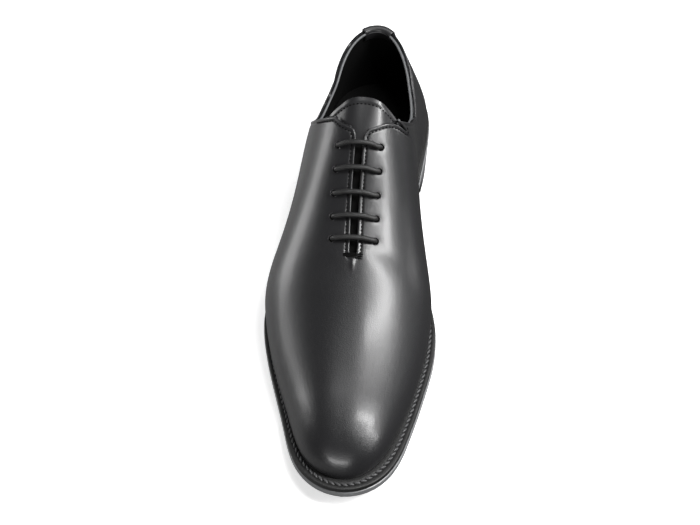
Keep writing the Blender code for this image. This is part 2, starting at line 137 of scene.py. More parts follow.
# Cross sections of the last, as shares of the ball width
SECTIONS = (
    # along, rise, centre, crown, low medial, bulge medial, shoulder medial, low lateral, bulge lateral, shoulder lateral
    (0.00, 1.27, -0.018, 0.061, 0.080, -0.270, 0.47, -0.010, -0.200, 0.53),
    (0.13, 1.285, -0.024, 0.075, 0.068, -0.260, 0.51, 0.014, -0.162, 0.54),
    (0.25, 1.245, -0.014, 0.096, 0.025, -0.020, 0.73, 0.096, 0.008, 0.585),
    (0.33, 1.10, -0.006, 0.106, 0.042, 0.135, 0.81, 0.098, 0.051, 0.583),
    (0.39, 0.99, -0.007, 0.098, 0.063, 0.162, 0.79, 0.085, 0.066, 0.581),
    (0.475, 0.785, -0.009, 0.103, 0.071, 0.139, 0.705, 0.078, 0.080, 0.595),
    (0.575, 0.56, 0.002, 0.112, 0.078, 0.102, 0.63, 0.075, 0.108, 0.625),
    (0.67, 0.345, 0.007, 0.121, 0.068, 0.057, 0.63, 0.080, 0.088, 0.635),
    (0.77, 0.165, 0.012, 0.121, 0.068, 0.047, 0.64, 0.085, 0.060, 0.645),
    (0.87, 0.04, 0.020, 0.112, 0.033, 0.028, 0.66, 0.070, 0.003, 0.66),
    (0.985, -0.055, 0.034, 0.093, -0.005, 0.008, 0.68, 0.080, 0.000, 0.68),
)

RIB_ZONES = (
    # from, to, ribs
    (0.131, 0.285, 44),
    (0.285, 0.390, 84),
    (0.390, 0.577, 84),
    (0.577, 0.840, 84),
)
HEEL_RIBS = 44
TOE_RIBS = 56
RIB_LEVELS = 60
TOP_SPREAD = 1.7

# The folded edge, its stitched groove, and the dents where the lace pulls, in metres
FOLD_WIDTH = 0.0016
FOLD_RISE = 0.00014
EDGE_ROUND = 0.0005
GROOVE_IN = 0.0024
GROOVE_WIDTH = 0.00050
GROOVE_DEPTH = 0.00034
EYELET_DENT = 0.0003
EYELET_SPREAD = 0.0026
PUCKER_RISE = 0.0005
PUCKER_LENGTH = 0.0065
LINING_BAND = 0.0042

CREASE_SLANT = (0.97, -0.24)
# Soft creases and swellings that the lasting leaves beside the slit
VAMP_CREASES = (
    # out from the ridge, share of the length, half length, half width, height
    (0.019, 0.562, 0.013, 0.0062, -0.0003),
    (0.024, 0.505, 0.010, 0.0100, 0.0003),
    (-0.017, 0.590, 0.012, 0.0070, -0.0003),
)

CALF_COLOUR = (0.011, 0.011, 0.012)
SUEDE_COLOUR = (0.0035, 0.0035, 0.0035)
LINING_COLOUR = (0.11, 0.113, 0.117)


@functools.lru_cache(maxsize=None)
def bends(table, column):
    """The spline through one column of a table: its places, values, steps and second slopes."""
    x = np.array([row[0] for row in table])
    y = np.array([row[column] for row in table])
    step = np.diff(x)
    matrix = np.eye(len(x))
    slopes = np.zeros(len(x))
    for i in range(1, len(x) - 1):
        matrix[i, i - 1 : i + 2] = step[i - 1], 2 * (step[i - 1] + step[i]), step[i]
        slopes[i] = 6 * ((y[i + 1] - y[i]) / step[i] - (y[i] - y[i - 1]) / step[i - 1])
    return x, y, step, np.linalg.solve(matrix, slopes)


def spline(table, column, at):
    """A curve without corners through one column of a table, against its first column."""
    x, y, step, bend = bends(table, column)
    at = np.asarray(at, float)
    i = np.clip(np.searchsorted(x, at) - 1, 0, len(x) - 2)
    t = at - x[i]
    slope = (y[i + 1] - y[i]) / step[i] - step[i] * (2 * bend[i] + bend[i + 1]) / 6
    return y[i] + slope * t + bend[i] * t**2 / 2 + (bend[i + 1] - bend[i]) * t**3 / (6 * step[i])


def smooth(t):
    t = np.clip(t, 0, 1)
    return t * t * (3 - 2 * t)


def blend(share, zone):
    return smooth((share - zone[0]) / (zone[1] - zone[0]))


def sole_bottom(along):
    """Height of the outsole's underside: heel seat, arch, flat tread and toe spring."""
    share = np.asarray(along) / LENGTH
    seat = HEEL_HEIGHT - SEAT_DROP * share / HEEL_CURVE * LENGTH
    arch = seat * (1 - blend(share, (SEAT_END, TREAD[0])))
    spring = TOE_SPRING * np.clip((share - TREAD[1]) / (1 - TREAD[1]), 0, None) ** SPRING_POWER
    return arch + spring


def welt_bottom(along):
    return sole_bottom(along) + SOLE_THICKNESS + CLEARANCE


def welt_top(along):
    return welt_bottom(along) + WELT_THICKNESS


def feather(along):
    """Height of the upper's lower edge."""
    return welt_top(along) + CLEARANCE


def half_width(along, side):
    share = np.asarray(along) / LENGTH
    width = HEEL_WIDTH + (BALL_WIDTH - HEEL_WIDTH) * blend(share, WAIST_BLEND)
    return width * spline(OUTLINE, 1 if side > 0 else 2, share)


def toe_rounding(along, tip, power):
    toe = np.clip((along - (tip - TOE_CAP)) / TOE_CAP, 0, 1)
    return np.sqrt(1 - toe ** np.array(power))


def heel_rounding(along, back):
    heel = np.clip((HEEL_CURVE - along) / (HEEL_CURVE - back), 0, 1)
    return np.sqrt(1 - heel**HEEL_ROUND)


def outline(along, side, inset=0.0, back=0.0, tip=LENGTH):
    """X of the sole's edge, drawn in by inset at its sides and ending at back and tip."""
    medial = half_width(along, 1) - inset
    lateral = half_width(along, -1) - inset
    middle = (medial - lateral) / 2
    rounding = heel_rounding(along, back) * toe_rounding(along, tip, TOE_ROUND)
    return middle + side * (medial + lateral) / 2 * rounding


def side_shift():
    """How far the shoe moves across so that x = 0 is the middle of its widest points."""
    along = np.linspace(0, LENGTH, 400)
    return -(outline(along, 1).max() + outline(along, -1).min()) / 2


SHIFT = side_shift()


def place(x, along, z):
    """A point from its distance along the shoe, measured from the back of the sole."""
    return np.stack(np.broadcast_arrays(x + SHIFT, LENGTH / 2 - along, z), axis=-1)


def ledge(along):
    share = np.asarray(along) / LENGTH
    return LEDGE_HEEL + (LEDGE_FORE - LEDGE_HEEL) * blend(share, LEDGE_BLEND)


def section(side, along):
    """Control points, x and height above the feather line, of one side of the last's cross section."""
    share = along / LENGTH
    rise, centre, crown = (spline(SECTIONS, column, share) for column in (1, 2, 3))
    low, bulge, shoulder = (spline(SECTIONS, column + (0 if side > 0 else 3), share) for column in (4, 5, 6))
    height = TOE_HEIGHT + (INSTEP_HEIGHT - TOE_HEIGHT) * rise
    edge = side * (half_width(along, side) - ledge(along))
    centre = centre * BALL_WIDTH
    x = np.array([
        edge,
        edge + side * low * BALL_WIDTH,
        edge + side * bulge * BALL_WIDTH,
        centre + (edge - centre) * shoulder,
        centre + side * crown * BALL_WIDTH,
        centre,
    ])
    return x, height * np.array(LEVEL_HEIGHTS)


def rib(side, turn, along):
    """Control points of one half rib. Turn goes from 0 at the back of the heel to 1 at its widest line."""
    tip = LENGTH - LEDGE_TOE
    x, height = section(side, along)
    middle = (half_width(along, 1) - half_width(along, -1)) / 2
    if turn < 1:
        back = math.cos(turn * math.pi / 2)
        opening = np.sqrt(1 - back ** np.array(HEEL_LEVELS))
        x = middle * (1 - back) + (x - middle) * opening
        lean = LEDGE_BACK + HEEL_CURVE * np.array(HEEL_LEAN)
        along = HEEL_CURVE - (HEEL_CURVE - lean) * back
    else:
        x = middle + (x - middle) * toe_rounding(along, tip, TOE_LEVELS)
        height = height * toe_rounding(along, tip, TOE_DOME)
        along = np.full(6, along)
    return place(x, along, feather(along) + height)


def rib_points(control, v):
    """Points at shares v of the way up a rib, from the feather line to the ridge."""
    v = np.atleast_1d(v)[:, None]
    k = np.arange(6)
    binomial = np.array([math.comb(5, i) for i in k])
    return (binomial * v**k * (1 - v) ** (5 - k)) @ control


def topline(along, side):
    """Height of the collar's edge above the ground, a little lower on the outer side under the ankle."""
    share = along / LENGTH
    rear = (BACK_HEIGHT - SIDE_HEIGHT) * (1 - smooth(share / DIP_ALONG))
    rise = np.clip((share - DIP_ALONG) / (PEAK_ALONG - DIP_ALONG), 0, 1) ** PEAK_POWER
    ankle = np.clip((along - HEEL_CURVE) / (PEAK_ALONG * LENGTH - HEEL_CURVE), 0, 1)
    drop = LATERAL_DROP * np.sin(math.pi * ankle) * (side < 0)
    return SIDE_HEIGHT + rear + (FACING_HEIGHT - SIDE_HEIGHT) * rise - drop


def throat_half_gap(along, side):
    """Half the width of the slit, which flares in round corners at its top and closes in a round end."""
    left = np.clip((THROAT_END - along) / THROAT_GAP, 0, 1)
    corner = np.clip((CORNER_END - along) / CORNER_LENGTH[side], 0, 1)
    flare = CORNER_WIDTH[side] * corner ** CORNER_POWER[side]
    gap = THROAT_GAP / 2 * np.sqrt(1 - (1 - left) ** 2) + flare
    return np.where(along > SLIT_FROM, gap, 0)


def first_crossing(values, shares):
    rises = np.nonzero((values[:-1] <= 0) & (values[1:] > 0))[0]
    if not len(rises):
        return 1.5
    k = rises[0]
    part = values[k] / (values[k] - values[k + 1])
    return shares[k] + part * (shares[k + 1] - shares[k])


def rib_top(control, side):
    """Share of the rib at which the collar or the slit cuts it, with a rounded corner between them."""
    v = np.linspace(0, 1, 401)
    points = rib_points(control, v)
    behind = LENGTH / 2 - points[:, 1]
    collar = first_crossing(points[:, 2] - topline(behind, side), v)
    slit = first_crossing(throat_half_gap(behind, side) - np.abs(points[:, 0] - control[5, 0]), v)
    near = max(CORNER_BLEND - abs(collar - slit), 0) / CORNER_BLEND
    return min(min(collar, slit) - near**2 * CORNER_BLEND / 4, 1.0)


def rib_places():
    heel = [(turn, HEEL_CURVE) for turn in np.linspace(0, 1, HEEL_RIBS, endpoint=False)]
    body = []
    for first, last, count in RIB_ZONES:
        body += [(1.0, at * LENGTH) for at in np.linspace(first, last, count, endpoint=False)]
    start = RIB_ZONES[-1][1] * LENGTH
    tip = LENGTH - LEDGE_TOE
    toe = [(1.0, start + (tip - start) * math.sin(t)) for t in np.linspace(0, math.pi / 2, TOE_RIBS)]
    return heel + body + toe


def surface_point(along, out):
    """Point and outward normal of the last's surface, out metres across from its ridge."""
    side = 1 if out >= 0 else -1
    v = np.linspace(0.3, 1, 301)

    def on(at):
        control = rib(side, 1.0, at)
        points = rib_points(control, v)
        share = np.interp(-abs(out), -np.abs(points[:, 0] - control[5, 0]), v)
        return rib_points(control, [share - 0.002, share])

    here = on(along)
    ahead = on(along + 0.0005)
    normal = Vector(np.cross((here[1] - here[0]) * -side, ahead[1] - here[1])).normalized()
    if normal.z < 0:
        normal.negate()
    return Vector(here[1]), normal


def new_object(name, mesh, materials):
    """A smooth object in the scene, with its materials in their slots."""
    for material in materials:
        mesh.materials.append(material)
    mesh.shade_smooth()
    made = bpy.data.objects.new(name, mesh)
    bpy.context.scene.collection.objects.link(made)
    return made


def mesh_from_rows(name, rows, closed=False, ring=False, caps=False, merge=1e-7):
    """Quads through rows of points. Closed joins each row's ends, ring joins the last row to the first."""
    shape = bmesh.new()
    made = [[shape.verts.new(Vector(point)) for point in row] for row in rows]
    pairs = list(zip(made, made[1:])) + ([(made[-1], made[0])] if ring else [])
    for first, second in pairs:
        count = len(first)
        for k in range(count if closed else count - 1):
            after = (k + 1) % count
            shape.faces.new((first[k], first[after], second[after], second[k]))
    if caps:
        shape.faces.new(made[0])
        shape.faces.new(made[-1])
    bmesh.ops.remove_doubles(shape, verts=shape.verts, dist=merge)
    bmesh.ops.dissolve_degenerate(shape, edges=shape.edges, dist=merge)
    bmesh.ops.recalc_face_normals(shape, faces=shape.faces)
    mesh = bpy.data.meshes.new(name)
    shape.to_mesh(mesh)
    shape.free()
    return mesh


def applied(made):
    """Turns an object with live modifiers into a plain mesh."""
    bpy.context.view_layer.update()
    result = bpy.data.meshes.new_from_object(made.evaluated_get(bpy.context.evaluated_depsgraph_get()))
    made.modifiers.clear()
    made.data = result
    return made


def finish_piece(made, node):
    """Rides on the shoe and stands for its solid."""
    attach(made, "root")
    if node:
        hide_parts(node)


def leather_grain():
    """Shared grain: fine pores and a slow unevenness of the polish."""
    group = bpy.data.node_groups.new("leather_grain", "ShaderNodeTree")
    for name, value in (("Pore Size", 0.0006), ("Patch Size", 0.03), ("Roughness", 0.3), ("Spread", 0.08)):
        group.interface.new_socket(name, in_out="INPUT", socket_type="NodeSocketFloat").default_value = value
    for name in ("Height", "Roughness"):
        group.interface.new_socket(name, in_out="OUTPUT", socket_type="NodeSocketFloat")
    nodes, links = group.nodes, group.links
    taken, given = nodes.new("NodeGroupInput"), nodes.new("NodeGroupOutput")
    coords = nodes.new("ShaderNodeTexCoord")
    results = []
    for kind, size in (("ShaderNodeTexVoronoi", "Pore Size"), ("ShaderNodeTexNoise", "Patch Size")):
        scale = nodes.new("ShaderNodeMath")
        scale.operation = "DIVIDE"
        scale.inputs[0].default_value = 1
        links.new(taken.outputs[size], scale.inputs[1])
        texture = nodes.new(kind)
        links.new(coords.outputs["Object"], texture.inputs["Vector"])
        links.new(scale.outputs[0], texture.inputs["Scale"])
        results.append(texture)
    links.new(results[0].outputs["Distance"], given.inputs["Height"])
    centred = nodes.new("ShaderNodeMath")
    centred.operation = "SUBTRACT"
    centred.inputs[1].default_value = 0.5
    links.new(results[1].outputs["Fac"], centred.inputs[0])
    spread = nodes.new("ShaderNodeMath")
    spread.operation = "MULTIPLY_ADD"
    links.new(centred.outputs[0], spread.inputs[0])
    links.new(taken.outputs["Spread"], spread.inputs[1])
    links.new(taken.outputs["Roughness"], spread.inputs[2])
    links.new(spread.outputs[0], given.inputs["Roughness"])
    return group


GRAIN = leather_grain()


def leather(name, colour, roughness, spread=0.06, pores=0.0006, relief=0.00002, coat=0.0, coat_roughness=0.1):
    """Black leather with grain in its relief and its polish."""
    made = bpy.data.materials.new(name)
    made.use_nodes = True
    nodes, links = made.node_tree.nodes, made.node_tree.links
    shader = nodes["Principled BSDF"]
    shader.inputs["Base Color"].default_value = (*colour, 1)
    shader.inputs["Coat Weight"].default_value = coat
    shader.inputs["Coat Roughness"].default_value = coat_roughness
    grain = nodes.new("ShaderNodeGroup")
    grain.node_tree = GRAIN
    grain.inputs["Pore Size"].default_value = pores
    grain.inputs["Roughness"].default_value = roughness
    grain.inputs["Spread"].default_value = spread
    bump = nodes.new("ShaderNodeBump")
    bump.inputs["Strength"].default_value = 1.0
    bump.inputs["Distance"].default_value = relief
    links.new(grain.outputs["Height"], bump.inputs["Height"])
    links.new(grain.outputs["Roughness"], shader.inputs["Roughness"])
    links.new(bump.outputs["Normal"], shader.inputs["Normal"])
    return made


def mix_colour_by_edge(material, near_colour, far_colour, width):
    """Colours a material by the distance from the shoe's folded edge."""
    nodes, links = material.node_tree.nodes, material.node_tree.links
    attribute = nodes.new("ShaderNodeAttribute")
    attribute.attribute_name = "edge"
    ramp = nodes.new("ShaderNodeMapRange")
    ramp.inputs["From Min"].default_value = width * 0.85
    ramp.inputs["From Max"].default_value = width
    mixed = nodes.new("ShaderNodeMix")
    mixed.data_type = "RGBA"
    mixed.inputs[6].default_value = (*near_colour, 1)
    mixed.inputs[7].default_value = (*far_colour, 1)
    links.new(attribute.outputs["Fac"], ramp.inputs["Value"])
    links.new(ramp.outputs["Result"], mixed.inputs["Factor"])
    links.new(mixed.outputs[2], nodes["Principled BSDF"].inputs["Base Color"])


def distance_field(vertices, line):
    """Distance of each vertex from a line of points."""
    tree = KDTree(len(line))
    for index, point in enumerate(line):
        tree.insert(point, index)
    tree.balance()
    return np.array([tree.find(point)[2] for point in vertices])


def filled_in(points, step):
    """The same line with a point at least every step."""
    points = np.asarray(points)
    lengths = np.concatenate([[0], np.cumsum(np.linalg.norm(np.diff(points, axis=0), axis=1))])
    at = np.arange(0, lengths[-1], step)
    return np.stack([np.interp(at, lengths, points[:, axis]) for axis in range(3)], axis=-1)


def fold_profile(distance):
    """Relief of the folded edge and of the groove that its stitches lie in."""
    fold = FOLD_RISE * np.sin(math.pi * np.clip(distance / FOLD_WIDTH, 0, 1))
    rounding = EDGE_ROUND * np.clip(1 - distance / EDGE_ROUND, 0, 1) ** 2
    groove = GROOVE_DEPTH * np.exp(-(((distance - GROOVE_IN) / GROOVE_WIDTH) ** 2))
    return fold - rounding - groove


upper_ribs = {side: [] for side in (1, -1)}
edge_points = {side: [] for side in (1, -1)}
for side in (1, -1):
    for turn, along in rib_places():
        control = rib(side, turn, along)
        top = rib_top(control, side)
        levels = 1 - (1 - np.linspace(0, 1, RIB_LEVELS)) ** TOP_SPREAD
        upper_ribs[side].append(rib_points(control, levels * top))
        if top < 1:
            edge_points[side].append(upper_ribs[side][-1][-1])
edge_line = np.concatenate([filled_in(edge_points[side], 0.0001) for side in (1, -1)])

calf = leather("black_box_calf", CALF_COLOUR, 0.34, pores=0.0005, relief=0.00006, coat=0.22, coat_roughness=0.19)
suede = leather("black_suede_lining", SUEDE_COLOUR, 0.9, pores=0.0004, relief=0.0001)
suede.node_tree.nodes["Principled BSDF"].inputs["Specular IOR Level"].default_value = 0.08
mix_colour_by_edge(suede, LINING_COLOUR, SUEDE_COLOUR, LINING_BAND)

shape = bmesh.new()
for side in (1, -1):
    rows = [[shape.verts.new(Vector(point)) for point in row] for row in upper_ribs[side]]
    for first, second in zip(rows, rows[1:]):
        for a, b, c, d in zip(first, second, second[1:], first[1:]):
            shape.faces.new((a, d, c, b) if side > 0 else (a, b, c, d))
bmesh.ops.remove_doubles(shape, verts=shape.verts, dist=2e-6)
bmesh.ops.dissolve_degenerate(shape, edges=shape.edges, dist=1e-6)
upper_mesh = bpy.data.meshes.new("whole_cut_upper")
shape.to_mesh(upper_mesh)
shape.free()

eyelets = {}
for pair in range(EYELET_PAIRS):
    for side in (1, -1):
        eyelets[pair, side] = surface_point(FIRST_EYELET + pair * EYELET_PITCH, side * EYELET_OUT)

vertices = np.array([vertex.co for vertex in upper_mesh.vertices])
normals = np.array([vertex.normal for vertex in upper_mesh.vertices])
edge_distance = distance_field(vertices, edge_line)
relief = fold_profile(edge_distance)
for point, _ in eyelets.values():
    gap = np.linalg.norm(vertices - np.array(point), axis=1)
    relief -= EYELET_DENT * np.exp(-((gap / EYELET_SPREAD) ** 2))
ridge, _ = surface_point(THROAT_END + PUCKER_LENGTH / 2, 0.0)
offset = vertices - np.array(ridge)
relief += PUCKER_RISE * np.exp(-((offset[:, 0] / 0.0012) ** 2) - (offset[:, 1] / PUCKER_LENGTH * 2) ** 2)
for out, behind, length, width, height in VAMP_CREASES:
    middle, _ = surface_point(behind * LENGTH, out)
    offset = vertices - np.array(middle)
    across = (offset[:, 0] * CREASE_SLANT[0] + offset[:, 1] * CREASE_SLANT[1]) / length
    down = (offset[:, 1] * CREASE_SLANT[0] - offset[:, 0] * CREASE_SLANT[1]) / width
    relief += height * np.exp(-(across**2) - down**2)
moved = vertices + normals * relief[:, None]
upper_mesh.vertices.foreach_set("co", moved.ravel())
upper_mesh.attributes.new("edge", "FLOAT", "POINT").data.foreach_set("value", edge_distance)

upper = new_object("whole_cut_upper", upper_mesh, [calf, suede])
wall = upper.modifiers.new("wall", "SOLIDIFY")
wall.thickness = WALL
wall.offset = -1
wall.material_offset = 1
wall.material_offset_rim = 0

punch = bmesh.new()
for point, normal in eyelets.values():
    turn = normal.to_track_quat("Z", "Y").to_matrix().to_4x4()
    bmesh.ops.create_cone(
        punch, cap_ends=True, segments=24, radius1=EYELET_BORE / 2, radius2=EYELET_BORE / 2,
        depth=4 * WALL, matrix=Matrix.Translation(point - normal * WALL / 2) @ turn,
    )
punch_mesh = bpy.data.meshes.new("eyelet_punch")
punch.to_mesh(punch_mesh)
punch.free()
eyelet_punch = new_object("eyelet_punch", punch_mesh, [calf])
holes = upper.modifiers.new("holes", "BOOLEAN")
holes.object = eyelet_punch
holes.solver = "EXACT"
applied(upper)
bpy.data.objects.remove(eyelet_punch)
upper.data.set_sharp_from_angle(angle=math.radians(50))
finish_piece(upper, "upper")

# ---------------------------------------------------------------- collar binding
# A narrow strip of grey lining leather is turned over the inside of the collar's edge all round.
# It lies against the calf and shows as a second, softer line.
BINDING_RADIUS = 0.00075
BINDING_IN = 0.0005
BINDING_DROP = 0.0006
BINDING_END = 0.318 * LENGTH


def curve_through(points, steps):
    """A smooth line through points."""
    points = [Vector(point) for point in points]
    padded = [points[0] * 2 - points[1]] + points + [points[-1] * 2 - points[-2]]
    line = []
    for a, b, c, d in zip(padded, padded[1:], padded[2:], padded[3:]):
        for t in np.linspace(0, 1, steps, endpoint=False):
            line.append(
                0.5 * ((2 * b) + (c - a) * t + (2 * a - 5 * b + 4 * c - d) * t**2 + (3 * b - a - 3 * c + d) * t**3)
            )
    return line + [points[-1]]


def tube(name, line, radius, sides):
    """A round rod along a line, with a UV map in metres around and along it."""
    shape = bmesh.new()
    uv = shape.loops.layers.uv.new("lay")
    side = Vector((0, 1, 0))
    rows, lengths = [], [0.0]
    for k, point in enumerate(line):
        ahead = line[min(k + 1, len(line) - 1)] - line[max(k - 1, 0)]
        ahead.normalize()
        side = (side - ahead * side.dot(ahead)).normalized()
        other = ahead.cross(side)
        turns = [2 * math.pi * j / sides for j in range(sides)]
        rows.append([
            shape.verts.new(point + (side * math.cos(turn) + other * math.sin(turn)) * radius) for turn in turns
        ])
        lengths.append(lengths[-1] + (point - line[max(k - 1, 0)]).length)
    for k, (first, second) in enumerate(zip(rows, rows[1:])):
        for j in range(sides):
            after = (j + 1) % sides
            face = shape.faces.new((first[j], first[after], second[after], second[j]))
            corners = ((j, k), (j + 1, k), (j + 1, k + 1), (j, k + 1))
            for loop, (around, on) in zip(face.loops, corners):
                loop[uv].uv = (around / sides * 2 * math.pi * radius, lengths[on + 1])
    shape.faces.new(rows[0])
    shape.faces.new(rows[-1])
    bmesh.ops.recalc_face_normals(shape, faces=shape.faces)
    mesh = bpy.data.meshes.new(name)
    shape.to_mesh(mesh)
    shape.free()
    return mesh


def smoothed(points, passes):
    """The line with its small steps evened out, its ends kept."""
    points = np.array(points, float)
    for _ in range(passes):
        points[1:-1] = (points[:-2] + 2 * points[1:-1] + points[2:]) / 4
    return points


def binding_line(side):
    """Just inside the collar's edge, from the back seam to the facing's corner."""
    line = []
    for row, after in zip(upper_ribs[side][1:], upper_ribs[side][2:]):
        if LENGTH / 2 - row[-1][1] > BINDING_END:
            break
        up = Vector(row[-1] - row[-4]).normalized()
        out = Vector(np.cross(row[-1] - row[-4], after[-1] - row[-1])).normalized() * side
        out = -out if out.x * side < 0 and out.y < 0.9 else out
        line.append(Vector(row[-1]) - out * (WALL + BINDING_IN) - up * BINDING_DROP)
    return line


lining_leather = leather("grey_lining_leather", LINING_COLOUR, 0.45)
collar_line = binding_line(-1)[::-1] + binding_line(1)
collar_line = [Vector(point) for point in smoothed(filled_in(smoothed(collar_line, 12), 0.0015), 4)]
binding = new_object("collar_binding", tube("collar_binding", collar_line, BINDING_RADIUS, 8), [lining_leather])
finish_piece(binding, None)

# ---------------------------------------------------------------- edge stitching
# One row of waxed black thread holds down the folded edge along both facings and the slit.
# Each stitch sinks a little into the leather between two needle holes. The thread is coloured darker and shines less
# than waxed thread, a painted shade for the holes and groove it lies in.
THREAD_HOLE_SHADE_COLOUR = (0.0015, 0.0015, 0.0015)
STITCH_PITCH = 0.0023
STITCH_LENGTH = 0.0015
STITCH_THICKNESS = 0.00085
STITCH_SINK = 0.00002


def stitch_tree():
    """Stitches along a line: pitch, length, thickness and the turn of each against the line."""
    tree = bpy.data.node_groups.new("stitch_row", "GeometryNodeTree")
    tree.interface.new_socket("Geometry", in_out="INPUT", socket_type="NodeSocketGeometry")
    for name in ("Pitch", "Length", "Thickness", "Turn"):
        tree.interface.new_socket(name, in_out="INPUT", socket_type="NodeSocketFloat")
    tree.interface.new_socket("Material", in_out="INPUT", socket_type="NodeSocketMaterial")
    tree.interface.new_socket("Geometry", in_out="OUTPUT", socket_type="NodeSocketGeometry")
    nodes, links = tree.nodes, tree.links
    taken, given = nodes.new("NodeGroupInput"), nodes.new("NodeGroupOutput")
    line = nodes.new("GeometryNodeMeshToCurve")
    upright = nodes.new("GeometryNodeSetCurveNormal")
    upright.mode = "Z_UP"
    spaced = nodes.new("GeometryNodeResampleCurve")
    spaced.mode = "LENGTH"
    spots = nodes.new("GeometryNodeCurveToPoints")
    spots.mode = "EVALUATED"
    turned = nodes.new("FunctionNodeRotateRotation")
    turned.rotation_space = "LOCAL"
    turn = nodes.new("ShaderNodeCombineXYZ")
    size = nodes.new("ShaderNodeCombineXYZ")
    ball = nodes.new("GeometryNodeMeshUVSphere")
    ball.inputs["Segments"].default_value = 8
    ball.inputs["Rings"].default_value = 6
    ball.inputs["Radius"].default_value = 0.5
    laid = nodes.new("GeometryNodeInstanceOnPoints")
    soft = nodes.new("GeometryNodeSetShadeSmooth")
    real = nodes.new("GeometryNodeRealizeInstances")
    coloured = nodes.new("GeometryNodeSetMaterial")
    links.new(taken.outputs["Geometry"], line.inputs["Mesh"])
    links.new(line.outputs["Curve"], upright.inputs["Curve"])
    links.new(upright.outputs["Curve"], spaced.inputs["Curve"])
    links.new(taken.outputs["Pitch"], spaced.inputs["Length"])
    links.new(spaced.outputs["Curve"], spots.inputs["Curve"])
    links.new(taken.outputs["Turn"], turn.inputs["Y"])
    links.new(spots.outputs["Rotation"], turned.inputs["Rotation"])
    links.new(turn.outputs[0], turned.inputs["Rotate By"])
    links.new(taken.outputs["Thickness"], size.inputs["X"])
    links.new(taken.outputs["Thickness"], size.inputs["Y"])
    links.new(taken.outputs["Length"], size.inputs["Z"])
    links.new(spots.outputs["Points"], laid.inputs["Points"])
    links.new(ball.outputs["Mesh"], laid.inputs["Instance"])
    links.new(turned.outputs["Rotation"], laid.inputs["Rotation"])
    links.new(size.outputs[0], laid.inputs["Scale"])
    links.new(laid.outputs["Instances"], soft.inputs["Geometry"])
    links.new(soft.outputs["Geometry"], real.inputs["Geometry"])
    links.new(real.outputs["Geometry"], coloured.inputs["Geometry"])
    links.new(taken.outputs["Material"], coloured.inputs["Material"])
    links.new(coloured.outputs["Geometry"], given.inputs["Geometry"])
    return tree


STITCHES = stitch_tree()


def thread_material(name, colour, twist):
    """Waxed thread, whose twist shows as fine slanting ribs."""
    made = bpy.data.materials.new(name)
    made.use_nodes = True
    nodes, links = made.node_tree.nodes, made.node_tree.links
    shader = nodes["Principled BSDF"]
    shader.inputs["Base Color"].default_value = (*colour, 1)
    shader.inputs["Roughness"].default_value = 0.45
    coords = nodes.new("ShaderNodeTexCoord")
    wave = nodes.new("ShaderNodeTexWave")
    wave.bands_direction = "DIAGONAL"
    wave.inputs["Scale"].default_value = twist
    bump = nodes.new("ShaderNodeBump")
    bump.inputs["Strength"].default_value = 0.6
    bump.inputs["Distance"].default_value = 0.00008
    links.new(coords.outputs["Object"], wave.inputs["Vector"])
    links.new(wave.outputs["Fac"], bump.inputs["Height"])
    links.new(bump.outputs["Normal"], shader.inputs["Normal"])
    return made


def stitched(name, lines, pitch, length, thickness, turn, material):
    """Stitches along lines of points, made into one plain mesh."""
    mesh = bpy.data.meshes.new(name)
    points, edges = [], []
    for line in lines:
        start = len(points)
        points += [tuple(point) for point in line]
        edges += [(start + k, start + k + 1) for k in range(len(line) - 1)]
    mesh.from_pydata(points, edges, [])
    row = bpy.data.objects.new(name, mesh)
    bpy.context.scene.collection.objects.link(row)
    modifier = row.modifiers.new("stitches", "NODES")
    modifier.node_group = STITCHES
    sockets = {item.name: item.identifier for item in STITCHES.interface.items_tree if item.in_out == "INPUT"}
    modifier[sockets["Pitch"]] = pitch
    modifier[sockets["Length"]] = length
    modifier[sockets["Thickness"]] = thickness
    modifier[sockets["Turn"]] = turn
    modifier[sockets["Material"]] = material
    applied(row)
    finish_piece(row, None)
    return row


def inside_edge(side, inset, first_along):
    """A line on the upper at a distance inside its edge, from the facing's corner down to the slit's end."""
    found = []
    for row, levels in zip(upper_ribs[side], range(len(upper_ribs[side]))):
        behind = LENGTH / 2 - row[-1][1]
        if behind < first_along or behind > THROAT_END:
            continue
        gaps = distance_field([Vector(point) for point in row[RIB_LEVELS // 3 :]], edge_line)
        rows = row[RIB_LEVELS // 3 :]
        inner = np.nonzero((gaps[:-1] > inset) & (gaps[1:] <= inset))[0]
        if len(inner):
            k = inner[-1]
            part = (gaps[k] - inset) / (gaps[k] - gaps[k + 1])
            found.append(rows[k] + part * (rows[k + 1] - rows[k]))
    return found


# Partly the thread's own black, partly painted shade: near black and almost without shine, so the stitches read as
# shaded ticks.
thread = thread_material("black_thread_painted_hole_shade", THREAD_HOLE_SHADE_COLOUR, 900.0)
thread.node_tree.nodes["Principled BSDF"].inputs["Specular IOR Level"].default_value = 0.1
stitch_lines = []
for side in (1, -1):
    line = smoothed(filled_in(smoothed(inside_edge(side, GROOVE_IN, PEAK_ALONG * LENGTH * 0.94), 6), 0.0005), 4)
    stitch_lines.append(line)
stitched(
    "facing_stitches", stitch_lines, STITCH_PITCH, STITCH_LENGTH, STITCH_THICKNESS, 0.0, thread,
)

# ---------------------------------------------------------------- tongue
# The tongue is a separate calf piece sewn under the slit, its top edge bound and stitched in an arc.
# It follows the instep under the facings and bends a little where the foot presses it. Its lower part, seen in the
# slit and under the laces, is painted near black as shade.
TONGUE_THICKNESS = 0.0016
TONGUE_GAP = 0.0010
TONGUE_HALF_WIDTH = 0.0255
TONGUE_SHIFT = 0.003
TONGUE_TOP = 0.302 * LENGTH
TONGUE_BOTTOM = 0.600 * LENGTH
TONGUE_CROWN = 0.0030
TONGUE_COLUMNS = 46
TONGUE_ROWS = 60
TONGUE_FOLD = 0.0004
TONGUE_WAVES = 9.0
# Painted shade line: tongue faces nearer the toe than this y take a near black matt finish standing in for the shade
# under the laces.
TONGUE_SHADE_LINE = 0.0395
BAND_WIDTH = 0.0031
BAND_RISE = 0.00025
TONGUE_COLOUR = (0.013, 0.013, 0.014)


